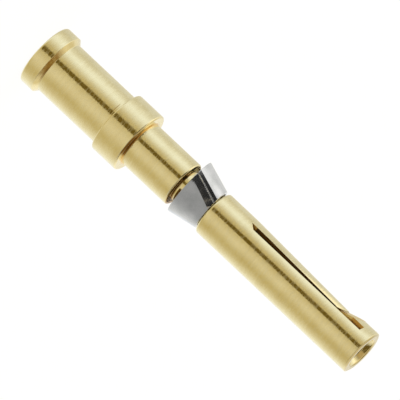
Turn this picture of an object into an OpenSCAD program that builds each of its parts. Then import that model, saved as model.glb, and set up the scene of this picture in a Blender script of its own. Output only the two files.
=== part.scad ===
// Crimp socket contact: a turned and plated socket with one sprung tine, and a rolled spring clip on its neck.
// It stands on its crimp end. The origin is the centre of the rear face, and +Z runs to the mating end.
// The tine faces -X. Heights above the axis, towards the tine, are measured along -X.

/* [Crimp end] */
// Diameter of the flange round the wire entry
flange_d = 3.94; // [3.7:0.02:4.4]
// Length of the flange's straight rim
flange_len = 0.94; // [0.5:0.02:1.5]
// Rounding of the flange's rear edge
flange_round = 0.14; // [0.06:0.02:0.3]
// Length of the cone from the flange down to the crimp barrel
flange_cone = 0.24; // [0.14:0.02:0.5]
// Diameter of the crimp barrel
crimp_d = 3.39; // [3.1:0.01:3.6]
// Length of the crimp barrel
crimp_len = 4.52; // [3:0.02:7]
// Diameter of the wire bore
wire_bore_d = 2.25; // [1.4:0.05:2.5]
// Depth of the wire bore, without its drill point
wire_bore_depth = 7; // [5:0.1:8]
// Width of the bell at the mouth of the wire bore
wire_bell = 0.18; // [0.05:0.01:0.25]

/* [Collar and mid barrel] */
// Diameter of the locating collar
collar_d = 3.99; // [3.7:0.01:4.6]
// Length of the locating collar
collar_len = 1.85; // [1:0.05:3]
// Rounding of the collar's two edges
collar_round = 0.1; // [0.04:0.01:0.2]
// Fillet at the root of the collar's front face
collar_fillet = 0.08; // [0.04:0.01:0.2]
// Diameter of the barrel between the collar and the clip
mid_d = 2.93; // [2.7:0.01:3.2]
// Length of the barrel between the collar and the clip
mid_len = 3.5; // [2:0.05:6]
// Rounding of that barrel's front rim
mid_round = 0.14; // [0.05:0.01:0.25]

/* [Neck and clip] */
// Diameter of the neck that carries the clip
neck_d = 2.08; // [1.8:0.02:2.3]
// Thickness of the clip's strip
clip_wall = 0.15; // [0.08:0.01:0.2]
// Room between the neck and the clip's narrow end, all round
clip_room = 0.14; // [0.12:0.01:0.3]
// Length of the clip
clip_len = 1.82; // [1.2:0.02:3]
// How far the clip widens towards the rear, on the radius
clip_flare = 0.46; // [0.2:0.01:0.6]
// Slit between the clip's two rolled ends
clip_slit = 0.06; // [0.03:0.01:0.3]
// How far the slit is turned from the tine, in degrees
clip_slit_turn = 48; // [0:1:360]
// How far the slit runs askew, in degrees
clip_slit_skew = 9; // [0:1:12]
// Room in the groove behind the clip
clip_rear_room = 0.09; // [0.05:0.01:0.6]
// Room in the groove ahead of the clip
clip_front_room = 0.03; // [0.02:0.01:0.3]
// How far the loose clip sits off the axis, towards the tine
clip_shift = 0.03; // [0:0.01:0.06]
// How far the clip's roll leans towards the tine at its wide end, in degrees
clip_lean = 3.3; // [0:0.1:4]
// How far the clip's two edges are out of square with the axis, in degrees
clip_skew = 6; // [0:0.5:8]

/* [Socket] */
// Diameter of the socket barrel
socket_d = 2.84; // [2.6:0.01:3.1]
// Length of the socket barrel
socket_len = 11.75; // [11:0.05:16]
// Rounding of the socket barrel's rear edge
socket_rear_round = 0.16; // [0.05:0.01:0.25]
// Rounding of the socket barrel's front edge
socket_front_round = 0.09; // [0.04:0.01:0.15]
// Diameter of the closed entry at the front
entry_d = 1.65; // [1.5:0.01:1.68]
// Widening of the entry at the front face, on the radius
entry_bell = 0.07; // [0.03:0.01:0.2]
// Length of the closed ring ahead of the slits
ring_len = 0.76; // [0.5:0.02:1.2]
// Diameter of the bore behind the entry, wider so that the tine can spring
bore_d = 1.97; // [1.9:0.01:2.1]
// Depth of the flat-bottomed bore from the front face
bore_depth = 10; // [9.8:0.1:11]

/* [Tine] */
// Width of the tine between its two slits
tine_w = 1.34; // [1:0.02:1.5]
// Width of a saw cut
saw_w = 0.31; // [0.2:0.01:0.4]
// Diameter of the saw that leaves the sloping rear ends of the slits
saw_d = 10; // [8:0.5:16]
// Radius of the slits' front ends
slit_end_r = 0.9; // [0.7:0.05:1.2]
// Height of the slits' floor above the axis
slit_floor = 0.45; // [0.3:0.05:0.5]
// Length of the slits where the tine's edges meet the surface
slit_len = 8.77; // [8:0.01:9]
// Distance from the front face to the front edge of the slanting cut across the tine
tip_cut_back = 1.05; // [0.9:0.01:1.3]
// Angle of the slanting cut to the axis
tip_cut_angle = 17; // [14:1:25]
// How far the tine is bent inwards, in degrees
tine_bend = 1.7; // [0:0.1:1.9]

/* [Hidden] */
$fn = 96;
// Point angle of the drill that makes the wire bore
drill_point = 118;
// How far a cutter runs past what it cuts
over = 0.4;
// How far the tine's root laps the solid wall behind it, and how far it sinks below the surface there
root_lap = 0.1;
root_sink = 0.01;

flange_r = flange_d / 2;
crimp_r = crimp_d / 2;
collar_r = collar_d / 2;
mid_r = mid_d / 2;
neck_r = neck_d / 2;
socket_r = socket_d / 2;
entry_r = entry_d / 2;
bore_r = bore_d / 2;
wire_bore_r = wire_bore_d / 2;
wire_point_len = wire_bore_r / tan(drill_point / 2);
saw_r = saw_d / 2;

crimp_z = flange_len + flange_cone;
collar_z = crimp_z + crimp_len;
mid_z = collar_z + collar_len;
neck_z = mid_z + mid_len;
clip_narrow_r = neck_r + clip_room;
clip_wide_r = clip_narrow_r + clip_flare;
clip_cone = atan(clip_flare / clip_len);
clip_wall_across = clip_wall / cos(clip_cone);
clip_z = neck_z + clip_rear_room + (clip_wide_r + clip_wall_across) * sin(clip_skew);
clip_front_z = clip_z + clip_len;
socket_z = clip_front_z + clip_front_room + (clip_narrow_r + clip_wall_across) * sin(clip_skew);
front_z = socket_z + socket_len;
slit_front_z = front_z - ring_len;

// The height of the barrel's surface at the tine's two edges
tine_edge_h = sqrt(socket_r * socket_r - tine_w * tine_w / 4);
// How far each end of a slit reaches past its cutter's centre, at that height
rear_reach = sqrt(saw_r * saw_r - pow(slit_floor + saw_r - tine_edge_h, 2));
front_reach = sqrt(slit_end_r * slit_end_r - pow(slit_floor + slit_end_r - tine_edge_h, 2));
slit_rear_z = slit_front_z - slit_len;
tine_root_z = slit_rear_z;
tip_cut_z = front_z - tip_cut_back;
tip_cut_rise = 1 / tan(tip_cut_angle);
tip_cut_len = saw_w / sin(tip_cut_angle);

// The corner that a rounding takes off a turned rim; way is 1 at a rim's rear edge and -1 at its front edge
module rim_corner(r, z, round, way) {
    difference() {
        translate([r - round, way > 0 ? z - over : z - round])
            square([round + over, round + over]);
        translate([r - round, z + way * round])
            circle(r = round);
    }
}

// The corner that a fillet fills between a barrel and the face behind it
module root_corner(r, z, round) {
    difference() {
        translate([r - round, z - round])
            square(2 * round);
        translate([r + round, z + round])
            circle(r = round);
    }
}

// Half the section of one turned step
module turned_step(r, from_z, to_z) {
    translate([0, from_z])
        square([r, to_z - from_z]);
}

// Half the section of the turned body; each thinner step runs on inside its thicker neighbours
module body_section() {
    difference() {
        polygon([[0, 0], [flange_r, 0], [flange_r, flange_len], [crimp_r, crimp_z], [0, crimp_z]]);
        rim_corner(flange_r, 0, flange_round, 1);
    }
    turned_step(crimp_r, flange_len, mid_z - collar_len / 2);
    difference() {
        turned_step(collar_r, collar_z, mid_z);
        rim_corner(collar_r, collar_z, collar_round, 1);
        rim_corner(collar_r, mid_z, collar_round, -1);
    }
    root_corner(mid_r, mid_z, collar_fillet);
    difference() {
        turned_step(mid_r, collar_z, neck_z);
        rim_corner(mid_r, neck_z, mid_round, -1);
    }
    turned_step(neck_r, mid_z, socket_z + socket_rear_round);
    difference() {
        turned_step(socket_r, socket_z, front_z);
        rim_corner(socket_r, socket_z, socket_rear_round, 1);
        rim_corner(socket_r, front_z, socket_front_round, -1);
    }
}

// The wire bore, with its bell mouth and drill point
module wire_bore() {
    translate([0, 0, -over])
        cylinder(h = wire_bore_depth + over, r = wire_bore_r);
    translate([0, 0, wire_bore_depth])
        cylinder(h = wire_point_len, r1 = wire_bore_r, r2 = 0);
    translate([0, 0, -over])
        cylinder(h = wire_bell + over, r1 = wire_bore_r + wire_bell + over, r2 = wire_bore_r);
}

// The socket bore, with its narrower bell-mouthed entry
module socket_bore() {
    bottom_z = front_z - bore_depth;
    translate([0, 0, bottom_z])
        cylinder(h = slit_front_z - bottom_z, r = bore_r);
    translate([0, 0, slit_front_z - over])
        cylinder(h = ring_len + 2 * over, r = entry_r);
    translate([0, 0, front_z - entry_bell])
        cylinder(h = entry_bell + over, r1 = entry_r, r2 = entry_r + entry_bell + over);
}

// Stands a section, drawn in X and Z, across the middle of the tine
module across_tine(width) {
    rotate([90, 0, 0])
        linear_extrude(height = width, center = true)
            children();
}

// One saw slit seen from the side: the saw's round run-out at the rear, a smaller one at the front
module slit_section() {
    rear_z = slit_rear_z + rear_reach;
    end_z = slit_front_z - front_reach;
    translate([-slit_floor - saw_r, rear_z])
        circle(r = saw_r);
    translate([-slit_floor - slit_end_r, end_z])
        circle(r = slit_end_r);
    translate([-slit_floor - 2 * slit_end_r, rear_z])
        square([2 * slit_end_r, end_z - rear_z]);
}

// What lies between the tine's root and a face of the slanting cut, seen from the side
module strip_section(root_z, face_z) {
    top = socket_r + over;
    depth = socket_r - slit_floor;
    polygon([
        [-top, root_z],
        [-slit_floor, root_z],
        [-slit_floor, face_z - depth * tip_cut_rise],
        [-top, face_z + over * tip_cut_rise],
    ]);
}

// The two slits and the window that the bent tine leaves
module tine_cuts() {
    for (side = [-1, 1])
        translate([0, side * (tine_w + saw_w) / 2, 0])
            across_tine(saw_w)
                slit_section();
    across_tine(tine_w)
        strip_section(tine_root_z, tip_cut_z);
}

// The tine: a strip of the barrel's wall, bent inwards about its root
module tine() {
    root_z = tine_root_z - root_lap;
    translate([root_sink - socket_r, 0, root_z])
        rotate([0, tine_bend, 0])
            translate([socket_r, 0, -root_z])
                intersection() {
                    difference() {
                        translate([0, 0, root_z])
                            cylinder(h = slit_len, r = socket_r);
                        translate([0, 0, root_z - over])
                            cylinder(h = slit_len + 2 * over, r = bore_r);
                    }
                    across_tine(tine_w)
                        strip_section(root_z, tip_cut_z - tip_cut_len);
                }
}

// The turned body with its bores, its slits and its tine
module contact_body() {
    color("#d8c584") {
        difference() {
            rotate_extrude()
                body_section();
            wire_bore();
            socket_bore();
            tine_cuts();
        }
        tine();
    }
}

// Half the section of the clip's roll, longer than the clip at both ends
module roll_section() {
    spare = over * clip_flare / clip_len;
    polygon([
        [clip_wide_r + spare, -over],
        [clip_wide_r + spare + clip_wall_across, -over],
        [clip_narrow_r - spare + clip_wall_across, clip_len + over],
        [clip_narrow_r - spare, clip_len + over],
    ]);
}

// The clip: a strip rolled to a split cone, wide end to the rear, loose on the neck
module retention_clip() {
    room_r = clip_wide_r + clip_wall_across + over;
    color("#b4b6b4")
        intersection() {
            translate([-clip_shift, 0, clip_front_z])
                rotate([0, clip_lean, 0])
                    translate([0, 0, -clip_len])
                        difference() {
                            rotate_extrude()
                                roll_section();
                            rotate([0, 0, 180 + clip_slit_turn])
                                rotate([-clip_slit_skew, 0, 0])
                                    translate([0, -clip_slit / 2, -over])
                                        cube([room_r, clip_slit, clip_len + 2 * over]);
                        }
            translate([0, 0, clip_z + clip_len / 2])
                rotate([-clip_skew, 0, 0])
                    cylinder(h = clip_len * cos(clip_skew), r = room_r, center = true);
        }
}

contact_body();
retention_clip();
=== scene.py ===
import math

import bmesh
import bpy
from mathutils import Matrix, Vector


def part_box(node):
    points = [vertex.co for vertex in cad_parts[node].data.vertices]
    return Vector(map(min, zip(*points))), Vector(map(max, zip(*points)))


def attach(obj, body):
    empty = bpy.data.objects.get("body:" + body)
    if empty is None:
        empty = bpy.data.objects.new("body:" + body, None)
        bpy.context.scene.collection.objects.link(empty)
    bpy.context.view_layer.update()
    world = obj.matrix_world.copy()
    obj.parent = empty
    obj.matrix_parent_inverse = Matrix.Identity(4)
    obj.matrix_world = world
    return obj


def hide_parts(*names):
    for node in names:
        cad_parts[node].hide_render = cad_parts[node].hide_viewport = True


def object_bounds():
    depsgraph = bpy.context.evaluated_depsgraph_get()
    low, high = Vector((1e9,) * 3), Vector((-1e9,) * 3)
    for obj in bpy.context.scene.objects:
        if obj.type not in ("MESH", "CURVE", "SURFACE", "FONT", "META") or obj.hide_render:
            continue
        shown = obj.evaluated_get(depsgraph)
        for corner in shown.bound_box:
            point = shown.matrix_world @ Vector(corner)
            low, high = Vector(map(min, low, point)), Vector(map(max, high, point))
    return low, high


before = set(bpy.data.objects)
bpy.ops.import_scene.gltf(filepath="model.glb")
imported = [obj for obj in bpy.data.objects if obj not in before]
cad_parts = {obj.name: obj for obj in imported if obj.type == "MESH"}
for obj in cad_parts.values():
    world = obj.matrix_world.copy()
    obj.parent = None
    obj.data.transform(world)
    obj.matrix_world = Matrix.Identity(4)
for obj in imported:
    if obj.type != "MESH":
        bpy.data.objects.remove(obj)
cad_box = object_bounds()

# Contact body: one bar of copper alloy, turned, bored from both ends and gold plated.
# A saw makes two slits and a slanting cut in the socket barrel, which free one tine behind a closed ring,
# and the tine is bent inwards. It is modelled in millimetres and brought to metres at the end.
MM = 0.001
TURNING_STEPS = 96
ROUND_STEPS = 6
HOLD = 0.015
WELD = 0.0001

flange_r = 1.97
flange_len = 0.94
flange_round = 0.14
crimp_r = 1.695
crimp_z = 1.18
collar_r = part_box("contact_body")[1].x / MM
collar_z = 5.70
collar_round = 0.1
collar_fillet = 0.08
crimp_rise = 0.025
rise_start_z = collar_z - 0.15
rise_end_z = collar_z - 0.07
mid_r = 1.465
mid_z = 7.55
mid_round = 0.14
neck_r = 1.04
neck_z = 11.05
socket_r = 1.42
socket_z = 13.317
socket_rear_round = 0.16
front_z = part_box("contact_body")[1].z / MM
ring_z = front_z - 0.76
entry_r = 0.825
lead_in_r = 0.99
lead_in_len = 0.34
mouth_round = 0.15
nose_r = 1.26
nose_drop = 0.06
bore_r = 0.985
bore_z = front_z - 10
wire_bore_r = 1.125
wire_bore_z = 7
wire_point_z = 7.676
wire_bell = 0.18
broken_edge = 0.03

tine_w = 1.34
tine_root_z = ring_z - 8.77
tine_knee_z = tine_root_z + 2.9
tine_bend = 1.75
tine_unbend = 1.15
saw_w = 0.31
saw_r = 5
saw_out = socket_r + 0.4
slit_floor = 0.45
slit_end_r = 0.9
slit_lip = 0.014
tip_cut_z = front_z - 1.05
tip_cut_angle = math.radians(17)


def rounded(corners):
    """The points of a line whose corners (r, z, radius) are rounded, with a holding point on each side of a round."""
    points = []
    for index, (r, z, radius) in enumerate(corners):
        corner = Vector((r, z))
        if not radius:
            points.append(corner)
            continue
        back = (Vector(corners[index - 1][:2]) - corner).normalized()
        on = (Vector(corners[index + 1][:2]) - corner).normalized()
        half = back.angle(on) / 2
        reach = radius / math.tan(half)
        centre = corner + (back + on).normalized() * radius / math.sin(half)
        first = corner + back * reach - centre
        last = corner + on * reach - centre
        points.append(corner + back * (reach + HOLD))
        for step in range(ROUND_STEPS + 1):
            points.append(centre + first.slerp(last, step / ROUND_STEPS).normalized() * radius)
        points.append(corner + on * (reach + HOLD))
    return points


def drawn_line(name, points):
    """A new object that is a line, each point extruded from the one before; it is left selected in edit mode."""
    bpy.ops.object.select_all(action="DESELECT")
    bpy.ops.mesh.primitive_plane_add(size=0.1)
    line = bpy.context.object
    line.name = name
    bpy.ops.object.mode_set(mode="EDIT")
    bpy.ops.mesh.select_all(action="SELECT")
    bpy.ops.mesh.merge(type="CENTER")
    bpy.ops.transform.translate(value=points[0])
    for last, point in zip(points, points[1:]):
        step = Vector(point) - Vector(last)
        bpy.ops.mesh.extrude_vertices_move(TRANSFORM_OT_translate={"value": step})
    bpy.ops.mesh.select_all(action="SELECT")
    bpy.ops.mesh.remove_doubles(threshold=WELD)
    return line


def turned(name, section):
    """A solid of revolution from half its section, which starts and ends on the axis or closes on itself."""
    piece = drawn_line(name, [(r, 0, z) for r, z in section])
    bpy.ops.mesh.spin(steps=TURNING_STEPS, angle=math.tau, center=(0, 0, 0), axis=(0, 0, 1))
    bpy.ops.mesh.select_all(action="SELECT")
    bpy.ops.mesh.remove_doubles(threshold=WELD)
    bpy.ops.mesh.normals_make_consistent(inside=False)
    bpy.ops.object.mode_set(mode="OBJECT")
    return piece


body = turned("turned_body", rounded([
    (0, wire_point_z, 0),
    (wire_bore_r, wire_bore_z, 0),
    (wire_bore_r, wire_bell, 0),
    (wire_bore_r + wire_bell, 0, broken_edge),
    (flange_r, 0, flange_round),
    (flange_r, flange_len, broken_edge),
    (crimp_r, crimp_z, broken_edge),
    (crimp_r, rise_start_z - 0.02, 0),
    (crimp_r, rise_start_z, 0),
    (crimp_r + crimp_rise, rise_end_z, 0),
    (crimp_r + crimp_rise, collar_z, 0),
    (collar_r, collar_z, collar_round),
    (collar_r, mid_z, collar_round),
    (mid_r, mid_z, collar_fillet),
    (mid_r, neck_z, mid_round),
    (neck_r, neck_z, broken_edge),
    (neck_r, socket_z, broken_edge),
    (socket_r, socket_z, socket_rear_round),
    (socket_r, tine_root_z, 0),
    (socket_r, tine_knee_z, 0),
    (socket_r, front_z - nose_drop, broken_edge),
    (nose_r, front_z, broken_edge),
    (lead_in_r, front_z, mouth_round),
    (entry_r, front_z - lead_in_len, broken_edge),
    (entry_r, ring_z, 0),
    (bore_r, ring_z, 0),
    (bore_r, tine_knee_z, 0),
    (bore_r, tine_root_z, 0),
    (bore_r, bore_z, 0),
    (0, bore_z, 0),
]))


class Shade:
    """A shader's socket: arithmetic on it adds Math nodes, and node() adds any other node."""

    def __init__(self, tree, socket=None):
        self.tree = tree
        self.socket = socket

    def node(self, kind, settings=None, sockets=None, output=0):
        """Adds a node, with its settings first and then the values or links of its sockets; gives one output."""
        made = self.tree.nodes.new("ShaderNode" + kind)
        for name, value in (settings or {}).items():
            if name != "stops":
                setattr(made, name, value)
                continue
            stops = made.color_ramp.elements
            while len(stops) < len(value):
                stops.new(1)
            for stop, (position, colour) in zip(stops, value):
                stop.position = position
                stop.color = (*colour, 1)
        for name, value in (sockets or {}).items():
            if isinstance(value, Shade):
                self.tree.links.new(value.socket, made.inputs[name])
            else:
                made.inputs[name].default_value = value
        return Shade(self.tree, made.outputs[output] if made.outputs else None)

    def maths(self, operation, *values):
        """Adds a Math node."""
        return self.node("Math", {"operation": operation}, dict(enumerate(values)))

    def __add__(self, other):
        return self.maths("ADD", self, other)

    def __radd__(self, other):
        return self.maths("ADD", other, self)

    def __sub__(self, other):
        return self.maths("SUBTRACT", self, other)

    def __rsub__(self, other):
        return self.maths("SUBTRACT", other, self)

    def __mul__(self, other):
        return self.maths("MULTIPLY", self, other)

    def __rmul__(self, other):
        return self.maths("MULTIPLY", other, self)

    def __pow__(self, other):
        return self.maths("POWER", self, other)

    def __rpow__(self, other):
        return self.maths("POWER", other, self)

    def __abs__(self):
        return self.maths("ABSOLUTE", self)


def new_shader(owner):
    """Clears an owner's nodes, and gives the means to add new ones."""
    owner.use_nodes = True
    owner.node_tree.nodes.clear()
    return Shade(owner.node_tree)


def in_millimetres(shade):
    """The x, y and z of a place on a piece, in millimetres."""
    metres = shade.node("TexCoord", output="Object")
    place = shade.node("VectorMath", {"operation": "SCALE"}, {0: metres, "Scale": 1 / MM})
    return [shade.node("SeparateXYZ", sockets={0: place}, output=axis) for axis in "XYZ"]


def noise(x, y, z, detail):
    """A noise at a place whose three measures are stretched beforehand to suit the grain."""
    place = x.node("CombineXYZ", sockets={"X": x, "Y": y, "Z": z})
    return x.node("TexNoise", sockets={"Vector": place, "Scale": 1, "Detail": detail})


def relief(height, depth):
    """A normal that shows a height as relief, of a depth in millimetres."""
    return height.node("Bump", sockets={"Strength": 1, "Distance": depth * MM, "Height": height})


def soft_step(value, low, high, at_low=0, at_high=1):
    """A smooth change from one value to another, as a first value goes from low to high."""
    return value.node("MapRange", {"interpolation_type": "SMOOTHSTEP"}, {
        "Value": value, "From Min": low, "From Max": high, "To Min": at_low, "To Max": at_high,
    })


def band(value, low, full, fall, high):
    """1 from full to fall, with soft edges, and 0 below low and above high."""
    return soft_step(value, low, full) * soft_step(value, fall, high, 1, 0)


def mottled(grain, first, second):
    """A colour that wanders between two others with a grain."""
    return grain.node("ValToRGB", {"stops": [(0.3, first), (0.7, second)]}, {0: grain})


def blend(share, first, second):
    """A colour between two others, by the second one's share."""
    return share.node("Mix", {"data_type": "RGBA"}, {0: share, 6: first, 7: second}, output=2)


gold = bpy.data.materials.new("turned_gold_plate")
shade = new_shader(gold)
x, y, z = in_millimetres(shade)
radius = (x ** 2 + y ** 2) ** 0.5
feed = z + radius
coarse_marks = noise(x * 0.25, y * 0.25, feed * 8, detail=2)
fine_marks = noise(x * 4, y * 4, feed * 14, detail=1)
cloud = noise(x * 0.8, y * 0.8, z * 0.8, detail=2)
marks = (coarse_marks * 0.5 + fine_marks * 0.5 - 0.5) * soft_step(radius, bore_r, neck_r)
in_bore = soft_step(radius, entry_r, entry_r + 0.03, 1, 0)

# Colours painted over the plating: a painted orange reflection in the fillet before the collar, a darker tan on the
# front face, painted shade in the corners at the roots of the collar, the neck and the flange cone, a painted shadow
# line behind the small rise on the crimp barrel and a painted shadow on the neck beside the clip's rear edge
# Painted orange reflection in the fillet before the collar, where the gold sees itself
fillet = band(z - mid_z, -0.02, 0.01, 0.05, 0.1) * soft_step(radius - mid_r, 0.05, 0.1, 1, 0)
front_face = soft_step(z - front_z, -0.07, -0.03)
# Painted shade in the corners at the roots of the collar, the neck and the flange cone
collar_root = band(z - mid_z, -0.1, -0.06, 0.04, 0.1) * band(x, -0.9, -0.2, 0.75, 1.05)
neck_root = band(z - neck_z, -0.09, -0.02, 0.02, 0.1) * soft_step(x, -1.15, -0.7)
cone_root = band(z - crimp_z, -0.1, -0.07, -0.01, 0.02) * band(x, 0, 0.3, 0.8, 1.3)
# A painted shadow line just behind the small rise on the crimp barrel
step_shadow = band(z - collar_z, -0.22, -0.2, -0.175, -0.155) * band(x, -1.15, -1, -0.35, -0.2)
# A painted shadow on the neck beside the clip's rear edge
clip_shadow = (
    band(z - neck_z, 0.14, 0.17, 0.29, 0.33)
    * soft_step(x, 0.05, 0.15) * soft_step(radius - neck_r, 0.02, 0.04, 1, 0)
)
plating = mottled(
    cloud * 0.4 + coarse_marks * 0.2 + fine_marks * 0.4,
    (0.80, 0.67, 0.35), (0.94, 0.83, 0.495),
)
for share, colour in (
    # Painted orange reflection in the fillet
    (fillet * 0.8, (0.80, 0.50, 0.14, 1)),
    # A darker tan on the front face
    (front_face, (0.68, 0.57, 0.31, 1)),
    # Painted shade in the root corners, and a painted shadow line behind the rise
    (collar_root + neck_root + cone_root * 0.5 + step_shadow * 0.6, (0.36, 0.19, 0.03, 1)),
    # Painted shadow of the clip on the neck
    (clip_shadow, (0.11, 0.055, 0.012, 1)),
):
    plating = blend(share, plating, colour)
metal = shade.node("BsdfPrincipled", sockets={
    "Base Color": plating, "Metallic": 1,
    "Roughness": in_bore * 0.3 + soft_step(fine_marks, 0.38, 0.62, 0.05, 0.22),
    "Normal": relief(marks, depth=0.006),
})
shade.node("OutputMaterial", sockets={"Surface": metal})
body.data.materials.append(gold)

sawn = bpy.data.materials.new("sawn_wall")
shade = new_shader(sawn)
x, y, z = in_millimetres(shade)
saw_marks = noise(x * 14, y * 14, z * 1.5, detail=2)

# The walls carry painted light and shade: brown at the run-out, painted shade where the slit is deep, a painted
# golden sheen near the tip and a warmer painted reflection at the ring;
# the far slit turns golden a little nearer to the root
run_out = mottled(saw_marks, (0.36, 0.20, 0.04), (0.52, 0.32, 0.08))
# Painted shade deep in the slit
shaded_deep_wall = mottled(saw_marks, (0.05, 0.02, 0.003), (0.10, 0.045, 0.008))
# Painted golden sheen near the tip
lit_open_wall = mottled(saw_marks, (0.72, 0.52, 0.17), (0.84, 0.64, 0.25))
# Warmer painted reflection at the ring
end_wall = mottled(saw_marks, (0.50, 0.26, 0.05), (0.66, 0.38, 0.09))
along = z + soft_step(y, 0.8, 0.9) * 0.4
at_end = soft_step(z - ring_z, -0.9, -0.8) * soft_step(abs(y), 0.62, 0.66)
tone = blend(soft_step(along - tine_root_z, 0.4, 0.5), run_out, shaded_deep_wall)
tone = blend(soft_step(along - ring_z, -2.07, -1.97), tone, lit_open_wall)
tone = blend(at_end, tone, end_wall)
metal = shade.node("BsdfPrincipled", sockets={
    "Base Color": tone, "Metallic": 1, "Specular Tint": (1, 0.97, 0.85, 1),
    "Roughness": 0.2 + saw_marks * 0.2, "Normal": relief(saw_marks, depth=0.008),
})
shade.node("OutputMaterial", sockets={"Surface": metal})


def saw_blade(name, outline, width, middle_y):
    """The room that a saw takes: an outline of (height towards the tine, z) with a width across the tine."""
    points = [(-height, middle_y - width / 2, z) for height, z in outline]
    blade = drawn_line(name, points + points[:1])
    bpy.ops.mesh.edge_face_add()
    bpy.ops.mesh.extrude_region_move(TRANSFORM_OT_translate={"value": (0, width, 0)})
    bpy.ops.mesh.select_all(action="SELECT")
    bpy.ops.mesh.normals_make_consistent(inside=False)
    bpy.ops.object.mode_set(mode="OBJECT")
    blade.data.materials.append(sawn)
    return blade


def pick(piece):
    """Makes one piece the only one selected, and the active one."""
    bpy.ops.object.select_all(action="DESELECT")
    piece.select_set(True)
    bpy.context.view_layer.objects.active = piece


def cut(piece, cutter):
    """Takes a cutter's room out of a piece."""
    pick(piece)
    modifier = piece.modifiers.new("cut", "BOOLEAN")
    modifier.operation = "DIFFERENCE"
    modifier.solver = "EXACT"
    modifier.material_mode = "TRANSFER"
    modifier.object = cutter
    bpy.ops.object.modifier_apply(modifier=modifier.name)
    bpy.data.objects.remove(cutter)


tine_edge = math.sqrt(socket_r ** 2 - (tine_w / 2) ** 2)
saw_z = tine_root_z + math.sqrt(saw_r ** 2 - (slit_floor + saw_r - tine_edge) ** 2)
slit_end_z = ring_z - math.sqrt(slit_end_r ** 2 - (slit_floor + slit_end_r - tine_edge) ** 2)
slit_outline = []
for degrees in range(44, -1, -4):
    angle = math.radians(degrees)
    slit_outline.append((slit_floor + saw_r * (1 - math.cos(angle)), saw_z - saw_r * math.sin(angle)))
for degrees in range(0, 91, 10):
    angle = math.radians(degrees)
    slit_outline.append((slit_floor + slit_end_r * (1 - math.cos(angle)), slit_end_z + slit_end_r * math.sin(angle)))
slit_outline.append((saw_out, slit_end_z + slit_end_r))
for side in (-1, 1):
    cut(body, saw_blade("slit_saw", slit_outline, saw_w, side * (tine_w + saw_w) / 2))

tip_cut_slope = 1 / math.tan(tip_cut_angle)
tip_cut_len = saw_w / math.sin(tip_cut_angle)
inner_z = tip_cut_z - (socket_r - slit_floor) * tip_cut_slope
outer_z = tip_cut_z + (saw_out - socket_r) * tip_cut_slope
tip_outline = [
    (slit_floor, inner_z), (saw_out, outer_z),
    (saw_out, outer_z - tip_cut_len), (slit_floor, inner_z - tip_cut_len),
]
cut(body, saw_blade("tip_saw", tip_outline, tine_w + saw_w, 0))


def select(piece, kind, wanted):
    """In edit mode, selects only the verts, edges or faces that a test picks out."""
    bpy.ops.mesh.select_mode(type={"verts": "VERT", "edges": "EDGE", "faces": "FACE"}[kind])
    bpy.ops.mesh.select_all(action="DESELECT")
    mesh = bmesh.from_edit_mesh(piece.data)
    mesh.normal_update()
    for part in getattr(mesh, kind):
        part.select_set(wanted(part))
    mesh.select_flush_mode()
    bmesh.update_edit_mesh(piece.data)


def swing(degrees, axis, centre):
    """Turns what is selected about an axis through a point; with no window the operator turns the other way."""
    bpy.ops.transform.rotate(value=-math.radians(degrees), orient_axis=axis, center_override=centre)


def is_lip(edge):
    """An edge where a saw cut meets the outside of the socket barrel."""
    on_barrel = all(
        v.co.x < 0 and abs(v.co.xy.length - socket_r) < 0.003 and tine_root_z - 0.1 < v.co.z < ring_z + 0.1
        for v in edge.verts
    )
    return on_barrel and edge.calc_face_angle(0) > math.radians(20)


def is_tine(vertex):
    """A vertex of the tine, which the slits and the slanting cut have freed."""
    x, y, z = vertex.co
    tip_z = tip_cut_z - tip_cut_len / 2 - (socket_r + x) * tip_cut_slope
    return x < 0 and abs(y) < (tine_w + slit_lip) / 2 and tine_root_z + 0.01 < z < tip_z


def finish_mesh(piece, smooth_angle):
    """Brings a piece from millimetres to metres, at the origin, and shades its rounds smooth."""
    pick(piece)
    piece.scale = (MM, MM, MM)
    bpy.ops.object.transform_apply(location=True, rotation=True, scale=True)
    bpy.ops.object.shade_smooth_by_angle(angle=math.radians(smooth_angle))


knee_x = (tine_knee_z - tine_root_z) * math.tan(math.radians(tine_bend)) - socket_r
pick(body)
bpy.ops.object.mode_set(mode="EDIT")
select(body, "edges", is_lip)
bpy.ops.mesh.bevel(offset=slit_lip, segments=2, clamp_overlap=False)
select(body, "verts", is_tine)
swing(tine_bend, "Y", (-socket_r, 0, tine_root_z))
select(body, "verts", lambda vertex: vertex.co.z > tine_knee_z + 0.01 and is_tine(vertex))
swing(-tine_unbend, "Y", (knee_x, 0, tine_knee_z))
bpy.ops.object.mode_set(mode="OBJECT")
finish_mesh(body, smooth_angle=33)

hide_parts("contact_body")
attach(body, "root")

# Retention clip: a strip of stainless spring steel, rolled to a split cone and sprung over the neck.
# It sits loosely there with its wide end to the rear, a little askew, and is flat beside its seam.
clip_wall = 0.15
clip_len = 1.82
clip_narrow_r = neck_r + 0.14
clip_flare = 0.46
clip_front_z = 13.148
clip_rear_z = clip_front_z - clip_len
clip_spare = 0.4
clip_slit = 0.03
clip_slit_turn = 180 + 48
clip_slit_skew = 9
clip_slit_reach = 3
clip_shift = 0.03
clip_lean = 3.3
clip_skew = math.radians(6)
clip_edge = 0.02
seam_flat_above = 0.25
seam_flat_below = 0.47
BISECT_WELD = 0.00001

spare_r = clip_spare * clip_flare / clip_len
wide_r = clip_narrow_r + clip_flare + spare_r
narrow_r = clip_narrow_r - spare_r
wall_across = clip_wall / math.cos(math.atan(clip_flare / clip_len))
wide_z = clip_rear_z - clip_spare
narrow_z = clip_front_z + clip_spare
clip = turned("spring_clip", [
    (wide_r, wide_z), (wide_r + wall_across, wide_z),
    (narrow_r + wall_across, narrow_z), (narrow_r, narrow_z), (wide_r, wide_z),
])

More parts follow.
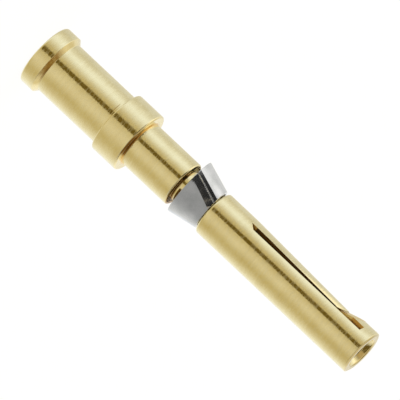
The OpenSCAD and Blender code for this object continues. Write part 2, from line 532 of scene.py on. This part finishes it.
steel = bpy.data.materials.new("rolled_steel_strip")
shade = new_shader(steel)
x, y, z = in_millimetres(shade)
roll_marks = noise(x * 1.5, y * 1.5, z * 12, detail=2)
cloud = noise(x * 1.5, y * 1.5, z * 1.5, detail=3)
metal = shade.node("BsdfPrincipled", sockets={
    "Base Color": mottled(cloud, (0.55, 0.555, 0.545), (0.69, 0.685, 0.68)), "Metallic": 1,
    "Roughness": 0.09 + cloud * 0.08, "Normal": relief(roll_marks, depth=0.003),
})
shade.node("OutputMaterial", sockets={"Surface": metal})
clip.data.materials.append(steel)

seam_turn = Matrix.Rotation(math.radians(clip_slit_turn), 3, "Z")
seam_skew = math.radians(clip_slit_skew)
seam_out = seam_turn @ Vector((1, 0, 0))
seam_across = seam_turn @ Vector((0, math.cos(seam_skew), -math.sin(seam_skew)))
seam_at = Vector((0, 0, clip_rear_z))
flat_borders = (-seam_flat_above, seam_flat_below)


def is_outside(face):
    """A face of the clip's outside, on the seam's side."""
    centre = face.calc_center_median()
    return face.normal.dot(Vector((centre.x, centre.y, 0))) > 0.5 and centre.dot(seam_out) > 0.3


def is_flat(face):
    """A face of the clip's outside that the seam's flat takes the place of."""
    from_seam = (face.calc_center_median() - seam_at).dot(seam_across)
    return is_outside(face) and flat_borders[0] < from_seam < flat_borders[1]


def is_flat_border(edge):
    """An edge on one of the two long sides of the seam's flat."""
    from_seam = [(v.co - seam_at).dot(seam_across) for v in edge.verts]
    return edge.is_boundary and any(max(abs(gap - border) for gap in from_seam) < 0.001 for border in flat_borders)


pick(clip)
bpy.ops.object.mode_set(mode="EDIT")
select(clip, "faces", lambda face: abs(face.normal.z) > 0.9)
bpy.ops.mesh.delete(type="FACE")
for border in flat_borders:
    select(clip, "faces", is_outside)
    bpy.ops.mesh.bisect(plane_co=seam_at + border * seam_across, plane_no=seam_across, threshold=BISECT_WELD)
select(clip, "faces", is_flat)
bpy.ops.mesh.delete(type="FACE")
select(clip, "edges", is_flat_border)
bpy.ops.mesh.bridge_edge_loops()
bpy.ops.object.mode_set(mode="OBJECT")

bpy.ops.object.select_all(action="DESELECT")
bpy.ops.mesh.primitive_cube_add(size=1)
slit_cutter = bpy.context.object
slit_cutter.data.materials.append(steel)
bpy.ops.object.mode_set(mode="EDIT")
bpy.ops.mesh.select_all(action="SELECT")
bpy.ops.transform.resize(value=(clip_slit_reach, clip_slit, clip_len + 4 * clip_spare))
bpy.ops.transform.translate(value=(clip_slit_reach / 2, 0, clip_rear_z + clip_len / 2))
swing(-clip_slit_skew, "X", (0, 0, clip_rear_z))
swing(clip_slit_turn, "Z", (0, 0, 0))
bpy.ops.object.mode_set(mode="OBJECT")

for piece in (slit_cutter, clip):
    pick(piece)
    bpy.ops.object.mode_set(mode="EDIT")
    bpy.ops.mesh.select_all(action="SELECT")
    swing(clip_lean, "Y", (0, 0, clip_front_z))
    bpy.ops.transform.translate(value=(-clip_shift, 0, 0))
    bpy.ops.object.mode_set(mode="OBJECT")

bpy.ops.object.mode_set(mode="EDIT")
trim = Vector((0, math.sin(clip_skew), math.cos(clip_skew)))
for side in (-1, 1):
    bpy.ops.mesh.select_all(action="SELECT")
    bpy.ops.mesh.bisect(
        plane_co=Vector((0, 0, clip_rear_z + clip_len / 2)) + side * trim * clip_len / 2,
        plane_no=side * trim, use_fill=True, clear_outer=True, threshold=BISECT_WELD,
    )
bpy.ops.mesh.select_all(action="SELECT")
bpy.ops.mesh.normals_make_consistent(inside=False)
bpy.ops.object.mode_set(mode="OBJECT")
cut(clip, slit_cutter)
edges = clip.modifiers.new("edges", "BEVEL")
edges.width = clip_edge
edges.segments = 2
edges.use_clamp_overlap = False
edges.limit_method = "ANGLE"
edges.angle_limit = math.radians(40)
bpy.ops.object.modifier_apply(modifier=edges.name)
finish_mesh(clip, smooth_angle=8)

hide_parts("retention_clip")
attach(clip, "root")

# Camera: it sees the contact from the side, a little from the mating end, through a long lens,
# turned so that the mating end points to the lower right of the picture. The middle of the contact's axis
# is placed in pixels, to the right of and below the picture's centre.
view_azimuth = math.radians(-8.8)
view_elevation = math.radians(12.4)
axis_fall = math.radians(43.29)
view_distance = 0.8
picture_side = 400
pixels_per_metre = 17840
axis_middle = Vector((0, 0, 12.53 * MM))
axis_middle_at = Vector((2.7, 3.1))

to_camera = Vector((
    math.sin(view_azimuth) * math.cos(view_elevation),
    -math.cos(view_azimuth) * math.cos(view_elevation),
    math.sin(view_elevation),
))
to_tine = Vector((-math.cos(view_azimuth), -math.sin(view_azimuth), 0))
axis_seen = (Vector((0, 0, 1)) - to_camera * to_camera.z).normalized()
right = math.cos(axis_fall) * axis_seen + math.sin(axis_fall) * to_tine
up = math.cos(axis_fall) * to_tine - math.sin(axis_fall) * axis_seen
aim = axis_middle - (axis_middle_at.x * right - axis_middle_at.y * up) / pixels_per_metre

bpy.ops.object.select_all(action="DESELECT")
bpy.ops.object.camera_add()
camera = bpy.context.object
facing = Matrix((right, up, to_camera)).transposed().to_4x4()
camera.matrix_world = Matrix.Translation(aim + to_camera * view_distance) @ facing
camera.data.sensor_width = 36
camera.data.lens = camera.data.sensor_width * view_distance * pixels_per_metre / picture_side
camera.data.clip_start = 0.01
camera.data.dof.use_dof = False
bpy.context.scene.camera = camera

# Floor: a plain white sheet that the contact stands on. It is white to the camera and keeps the contact's
# soft shadow, and reflections pass through it to the studio all round.
bpy.ops.object.select_all(action="DESELECT")
bpy.ops.mesh.primitive_plane_add(size=4, location=(0, 0, cad_box[0].z))
floor = bpy.context.object
floor.name = "floor"
paper = bpy.data.materials.new("white_paper")
shade = new_shader(paper)
white_glow = shade.node("Emission", sockets={"Color": (1, 1, 1, 1), "Strength": 0.92})
shadow_part = shade.node("BsdfDiffuse", sockets={"Color": (0.18, 0.18, 0.18, 1)})
seen = shade.node("AddShader", sockets={0: white_glow, 1: shadow_part})
matt = shade.node("BsdfDiffuse", sockets={"Color": (0.8, 0.8, 0.8, 1)})
open_way = shade.node("BsdfTransparent")
camera_ray = shade.node("LightPath", output="Is Camera Ray")
glossy_ray = shade.node("LightPath", output="Is Glossy Ray")
sheet = shade.node("MixShader", sockets={0: camera_ray, 1: matt, 2: seen})
sheet = shade.node("MixShader", sockets={0: glossy_ray, 1: sheet, 2: open_way})
shade.node("OutputMaterial", sockets={"Surface": sheet})
floor.data.materials.append(paper)

# Studio: a pale tent with softboxes on both sides, warmer below the table, and a white backdrop for the camera.
# Its dark slot beside the camera shows as the dark line on every barrel. A dark panel hangs high on that side,
# with a pale ceiling over it and a brown cloth straight overhead.
world = bpy.data.worlds.new("studio")
bpy.context.scene.world = world
shade = new_shader(world)
ray = shade.node("TexCoord", output="Generated")


def towards(direction):
    """How far a ray points in a direction, from -1 to 1."""
    return ray.node("VectorMath", {"operation": "DOT_PRODUCT"}, {0: ray, 1: direction.normalized()}, output="Value")


height = shade.node("SeparateXYZ", sockets={0: ray}, output="Z")
tine_side = towards(to_tine)
camera_side = towards(Vector((to_camera.x, to_camera.y, 0)))
zenith = towards(Vector((0, 0, 1)) - 0.06 * to_tine)
turn = shade.maths("ARCTAN2", tine_side, camera_side) * math.degrees(1)


def softbox(centre, reach, strength):
    """A light that stands upright in the tent: brightest at its centre, and gone at its reach, in degrees."""
    return soft_step(abs(shade.maths("WRAP", turn - centre, 180, -180)), 0, reach, strength, 0)


def tinted(colour, level):
    """A colour at a level, as a vector."""
    return level.node("VectorMath", {"operation": "SCALE"}, {0: colour, "Scale": level})


def together(operation, first, second):
    """Two colours added or multiplied, as vectors."""
    return second.node("VectorMath", {"operation": operation}, {0: first, 1: second})


low_tent = (0.606, 0.540, 0.339)
for centre, reach, colour in (
    (70.7, 45.7, (0.375, 0.527, 0.883)),
    (-154, 86, (0.405, 0.510, 0.760)),
    (-26.6, 43.5, (0.164, 0.190, 0.263)),
    (124.7, 46.5, (0.120, 0.210, 0.430)),
):
    low_tent = together("ADD", low_tent, tinted(colour, softbox(centre, reach, 1)))
ceiling = soft_step(height, 0.70, 0.76) * soft_step(camera_side, 0.1, 0.3)
high_level = 0.45 + softbox(85, 45, 0.74) + softbox(-154, 100, 0.62) + softbox(125, 46, 0.40) + ceiling * 0.55
high_tent = tinted((1, 1, 0.98), high_level)
upper = soft_step(height, -0.15, -0.06)
warmth = blend(soft_step(height, 0.42, 0.6), (1, 1, 1, 1), (0.82, 0.76, 0.6, 1))
tent = together("MULTIPLY", blend(upper, low_tent, high_tent), warmth)

rise = (height + 0.215) * soft_step(height, -0.12, 0.02)
slot = (
    soft_step(turn - rise * 35, 4.5, 6.5) * soft_step(turn - rise * 84, 19.5, 25.5, 1, 0)
    * band(height, -0.6, -0.45, 0.4, 0.5)
)
tent = blend(slot, tent, blend(upper, (0.16, 0.115, 0.025, 1), (0.03, 0.03, 0.03, 1)))
panel = band(turn, -118, -98, 35, 55) * band(height, 0.42, 0.5, 0.68, 0.74)
tent = blend(panel, tent, blend(soft_step(turn, -16, -6), (0.13, 0.09, 0.015, 1), (0.50, 0.38, 0.20, 1)))
brown_cloth = soft_step(zenith, 0.77, 1) * soft_step(abs(camera_side), 0.25, 0.45, 1, 0)
tent = blend(brown_cloth, tent, (0.28, 0.17, 0.05, 1))
lit_tent = shade.node("Background", sockets={"Color": tent, "Strength": 1})
backdrop = shade.node("Background", sockets={"Color": (1, 1, 1, 1), "Strength": 1})
camera_ray = shade.node("LightPath", output="Is Camera Ray")
studio = shade.node("MixShader", sockets={0: camera_ray, 1: lit_tent, 2: backdrop})
shade.node("OutputWorld", sockets={"Surface": studio})

bpy.context.scene.view_settings.view_transform = "Standard"
